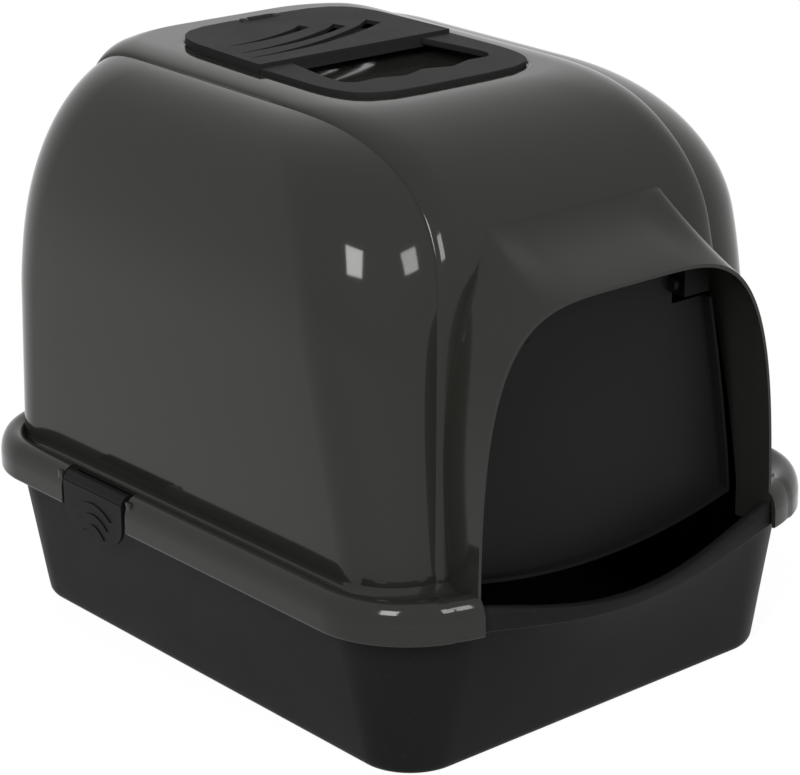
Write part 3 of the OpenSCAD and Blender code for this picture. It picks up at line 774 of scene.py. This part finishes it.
# The tray's profile. Rings of its wall are (share of the height, move in, z), those of the rim (inset, z)
FOOT_PROFILE = [(0, 8, 0), (0, 3, 0.05), (0, 1.6, 0.5), (0, 0.7, 1.6), (0.03, 0.25, 3.2), (0.05, 0, 6)]
OUTER_SHARES = (0.15, 0.25, 0.35, 0.45, 0.55, 0.65, 0.75, 0.85, 0.93)
UNDER_RIM = [(1, 0, RIM_LOW_Z - 2), (1, -0.6, RIM_LOW_Z - 0.8)]
RIM_PROFILE = [(6.5, RIM_LOW_Z), (4.6, RIM_LOW_Z + 0.2), (4.1, RIM_LOW_Z + 0.9), (4.0, RIM_LOW_Z + 3),
               (4.0, RIM_Z - 6), (4.2, RIM_Z - 4), (5.0, RIM_Z - 2), (6.4, RIM_Z - 0.6), (8.5, RIM_Z),
               (10.5, RIM_Z - 0.2), (12.2, RIM_Z - 1.2), (13.2, RIM_Z - 3), (14.0, RIM_Z - 6)]
INSIDE_TOP = [(1, WALL - 1, RIM_LOW_Z - 2), (1, WALL, RIM_LOW_Z - 6)]
INNER_SHARES = (0.85, 0.7, 0.55, 0.35, 0.2)
INSIDE_FOOT = [(0.05, WALL, 8), (0.02, 4.2, 5), (0, 7, 3.4), (0, 14, WALL)]


def tray():
    rings = [tray_wall(*p) for p in FOOT_PROFILE]
    rings += [tray_wall(t, 0, RIM_LOW_Z * t) for t in OUTER_SHARES]
    rings += [tray_wall(*p) for p in UNDER_RIM]
    rings += [rim_ring(*p) for p in RIM_PROFILE]
    rings += [tray_wall(*p) for p in INSIDE_TOP]
    rings += [tray_wall(t, WALL, RIM_LOW_Z * t) for t in INNER_SHARES]
    rings += [tray_wall(*p) for p in INSIDE_FOOT]
    faces = stack_faces(len(rings), len(rings[0]))
    return outward(new_object("tray_tub", [p for ring in rings for p in ring], faces))


tub = tray()
# Slits in the rim for the awning's legs
for s in (-1, 1):
    cut_away(tub, side_box("slit", s, (127.8, 131.6), (-255, -195), (FLANGE_Z - 0.8, 141)))
finish_piece(tub, "tray", tray_black, "tray", slot="tray", angle=32)


# ---------------------------------------------------------------- the filter pad
PAD_X, PAD_V, PAD_MID_V, PAD_W, PAD_HALF = 66, 30, 56, -9.1, 3.9
PAD_EDGE, PAD_POWER_X, PAD_POWER_V = 0.25, 14, 10


def filter_pad():
    """A soft pad, thinner towards its edges."""
    nx, ny = 60, 28
    v, f = [], []
    for up in (1, -1):
        for j in range(ny + 1):
            for i in range(nx + 1):
                u, w = i / nx * 2 - 1, j / ny * 2 - 1
                full = max(0.0, 1 - abs(u) ** PAD_POWER_X) ** 0.4 * max(0.0, 1 - abs(w) ** PAD_POWER_V) ** 0.4
                z = PAD_W + up * (PAD_HALF * (PAD_EDGE + (1 - PAD_EDGE) * full))
                v.append(on_roof(PAD_X * u, PAD_MID_V + PAD_V * w, z))
    n = (nx + 1) * (ny + 1)
    for t in (0, 1):
        for j in range(ny):
            for i in range(nx):
                a = t * n + j * (nx + 1) + i
                q = (a, a + 1, a + nx + 2, a + nx + 1)
                f.append(q if t == 0 else tuple(reversed(q)))
    rim = ([j for j in range(nx)] + [nx + (nx + 1) * j for j in range(ny)]
           + [(nx + 1) * ny + nx - i for i in range(nx)] + [(nx + 1) * (ny - j) for j in range(ny)])
    for a, b in zip(rim, rim[1:] + rim[:1]):
        f.append((a, a + n, b + n, b))
    return outward(new_object("filter_pad", v, f))


pad = filter_pad()
finish_piece(pad, "hood", felt, "charcoal_filter", slot="filter", angle=60)


# ---------------------------------------------------------------- stage, light and camera
# The camera fitted to the photo: place in metres, and angles in degrees
CAMERA_AT = (-1.1160, -1.3420, 0.7808)
CAMERA_AZ, CAMERA_EL, CAMERA_ROLL = -39.998, 19.356, -0.728
LENS, SENSOR = 119.63, 36.0


def camera():
    az, el, turn = (math.radians(a) for a in (CAMERA_AZ, CAMERA_EL, CAMERA_ROLL))
    back = Vector((math.sin(az) * math.cos(el), -math.cos(az) * math.cos(el), math.sin(el)))
    right = Vector((math.cos(az), math.sin(az), 0))
    up = back.cross(right)
    rolled_right = right * math.cos(turn) + up * math.sin(turn)
    rolled_up = -right * math.sin(turn) + up * math.cos(turn)
    data = bpy.data.cameras.new("camera")
    data.lens, data.sensor_width = LENS, SENSOR
    cam = bpy.data.objects.new("camera", data)
    scene.collection.objects.link(cam)
    place = Matrix((rolled_right, rolled_up, back)).transposed().to_4x4()
    place.translation = Vector(CAMERA_AT)
    cam.matrix_world = place
    scene.camera = cam


def ray_mix(nt, seen, unseen):
    """Mixes two shaders: seen for camera, glossy and transmission rays."""
    path = nt.nodes.new("ShaderNodeLightPath")
    a = nt.nodes.new("ShaderNodeMath")
    a.operation = "MAXIMUM"
    nt.links.new(path.outputs["Is Camera Ray"], a.inputs[0])
    nt.links.new(path.outputs["Is Glossy Ray"], a.inputs[1])
    b = nt.nodes.new("ShaderNodeMath")
    b.operation = "MAXIMUM"
    nt.links.new(a.outputs[0], b.inputs[0])
    nt.links.new(path.outputs["Is Transmission Ray"], b.inputs[1])
    mix = nt.nodes.new("ShaderNodeMixShader")
    nt.links.new(b.outputs[0], mix.inputs[0])
    nt.links.new(unseen, mix.inputs[1])
    nt.links.new(seen, mix.inputs[2])
    return mix.outputs[0]


WORLD_DIM, FLOOR_GREY, FLOOR_GLOW, FLOOR_PLAIN = 0.55, 0.16, 0.9, 0.8
FLOOR_HALF, FLOOR_Z = 30, -0.0005


def backdrop():
    """A white world that lights dimly, and a white floor that keeps the shadow."""
    world = bpy.data.worlds.new("world")
    scene.world = world
    world.use_nodes = True
    nt = world.node_tree
    nt.nodes.clear()
    out = nt.nodes.new("ShaderNodeOutputWorld")
    white = nt.nodes.new("ShaderNodeBackground")
    white.inputs[0].default_value, white.inputs[1].default_value = (1, 1, 1, 1), 1.0
    dim = nt.nodes.new("ShaderNodeBackground")
    dim.inputs[0].default_value, dim.inputs[1].default_value = (1, 1, 1, 1), WORLD_DIM
    nt.links.new(ray_mix(nt, white.outputs[0], dim.outputs[0]), out.inputs[0])

    corners = [(x * FLOOR_HALF, y * FLOOR_HALF, FLOOR_Z) for x, y in ((-1, -1), (1, -1), (1, 1), (-1, 1))]
    floor = new_object("floor", corners, [(0, 1, 2, 3)], mm=False)
    m = bpy.data.materials.new("floor_white")
    m.use_nodes = True
    nt = m.node_tree
    nt.nodes.clear()
    out = nt.nodes.new("ShaderNodeOutputMaterial")
    diffuse = nt.nodes.new("ShaderNodeBsdfDiffuse")
    diffuse.inputs[0].default_value = (FLOOR_GREY, FLOOR_GREY, FLOOR_GREY, 1)
    glow = nt.nodes.new("ShaderNodeEmission")
    glow.inputs[1].default_value = FLOOR_GLOW
    add = nt.nodes.new("ShaderNodeAddShader")
    nt.links.new(diffuse.outputs[0], add.inputs[0])
    nt.links.new(glow.outputs[0], add.inputs[1])
    plain = nt.nodes.new("ShaderNodeBsdfDiffuse")
    plain.inputs[0].default_value = (FLOOR_PLAIN, FLOOR_PLAIN, FLOOR_PLAIN, 1)
    nt.links.new(ray_mix(nt, add.outputs[0], plain.outputs[0]), out.inputs[0])
    floor.data.materials.append(m)


LAMP_TARGET = Vector((0, 0, 0.25))


def lamp(name, at, power, width, height):
    """A rectangular lamp that faces the object."""
    data = bpy.data.lights.new(name, "AREA")
    data.shape, data.size, data.size_y, data.energy = "RECTANGLE", width, height, power
    obj = bpy.data.objects.new(name, data)
    scene.collection.objects.link(obj)
    obj.location = at
    obj.rotation_mode = "QUATERNION"
    obj.rotation_quaternion = (LAMP_TARGET - Vector(at)).to_track_quat("-Z", "Y")


camera()
backdrop()
# Placed where the photo's highlights mirror them: one at the left, one over the front
lamp("key", (-2.05, -1.2, 1.8), 46, 0.72, 0.98)
lamp("front", (0.05, -2.45, 1.7), 26, 0.7, 0.85)
